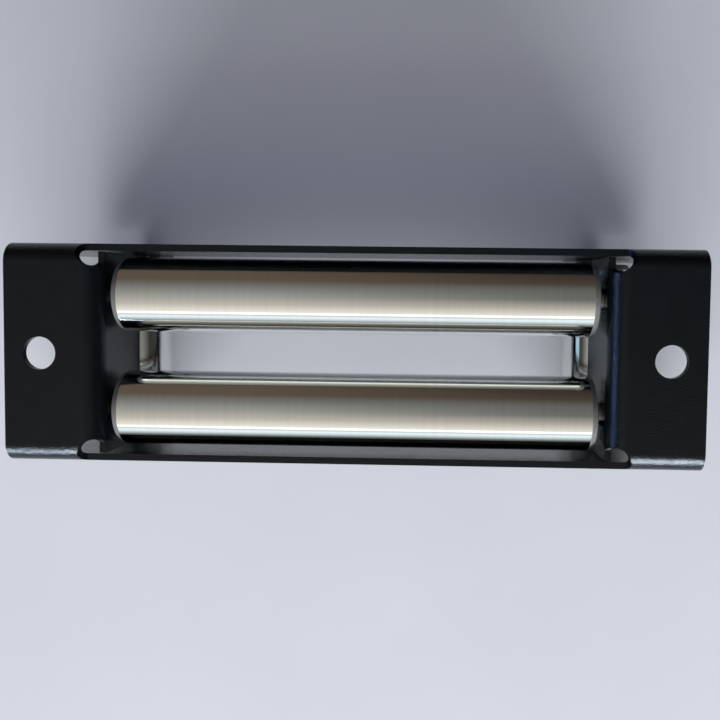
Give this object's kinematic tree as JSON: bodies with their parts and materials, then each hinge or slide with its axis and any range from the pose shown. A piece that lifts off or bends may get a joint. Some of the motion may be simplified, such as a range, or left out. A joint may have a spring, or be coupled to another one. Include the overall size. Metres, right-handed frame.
{
  "type": "roller fairlead",
  "caption": "Four-way roller fairlead: pressed black frame with bolt ears, long and short plated rollers turning on axles round a rope window.",
  "frame": {"origin": "on the mounting face, midway between the two bolt holes", "axes": "+X along the frame and the long rollers, +Y across the frame along the short rollers (up when mounted), +Z out of the mounting face"},
  "size_m": [0.307, 0.1046, 0.08],
  "materials": {
    "powder_coat": "glossy black powder coat with fine orange peel",
    "plated_roller": "bright zinc plate over a turned surface",
    "axle_steel": "drawn bright steel",
    "bush_nylon": "matt black nylon",
    "washer_zinc": "zinc plated",
    "clip_steel": "dark phosphated spring steel"
  },
  "bodies": {
    "frame_body": {"frame": "powder_coat", "upper_axle": "axle_steel", "lower_axle": "axle_steel", "left_axle": "axle_steel", "right_axle": "axle_steel", "upper_washer": "washer_zinc", "lower_washer": "washer_zinc", "left_washer": "washer_zinc", "right_washer": "washer_zinc", "upper_clip": "clip_steel", "lower_clip": "clip_steel", "left_clip": "clip_steel", "right_clip": "clip_steel"},
    "upper_roller_body": {"upper_roller": "plated_roller", "upper_bush_left": "bush_nylon", "upper_bush_right": "bush_nylon"},
    "lower_roller_body": {"lower_roller": "plated_roller", "lower_bush_left": "bush_nylon", "lower_bush_right": "bush_nylon"},
    "left_roller_body": {"left_roller": "plated_roller", "left_bush_top": "bush_nylon", "left_bush_bottom": "bush_nylon"},
    "right_roller_body": {"right_roller": "plated_roller", "right_bush_top": "bush_nylon", "right_bush_bottom": "bush_nylon"}
  },
  "joints": [
    {"name": "upper_roller_spin", "type": "hinge", "parent": "frame_body", "child": "upper_roller_body", "pos_m": [0, 0.026, -0.02], "axis": [1, 0, 0], "continuous": true},
    {"name": "lower_roller_spin", "type": "hinge", "parent": "frame_body", "child": "lower_roller_body", "pos_m": [0, -0.026, -0.02], "axis": [1, 0, 0], "continuous": true},
    {"name": "left_roller_spin", "type": "hinge", "parent": "frame_body", "child": "left_roller_body", "pos_m": [-0.1185, 0, -0.063], "axis": [0, 1, 0], "continuous": true},
    {"name": "right_roller_spin", "type": "hinge", "parent": "frame_body", "child": "right_roller_body", "pos_m": [0.1185, 0, -0.063], "axis": [0, 1, 0], "continuous": true}
  ]
}
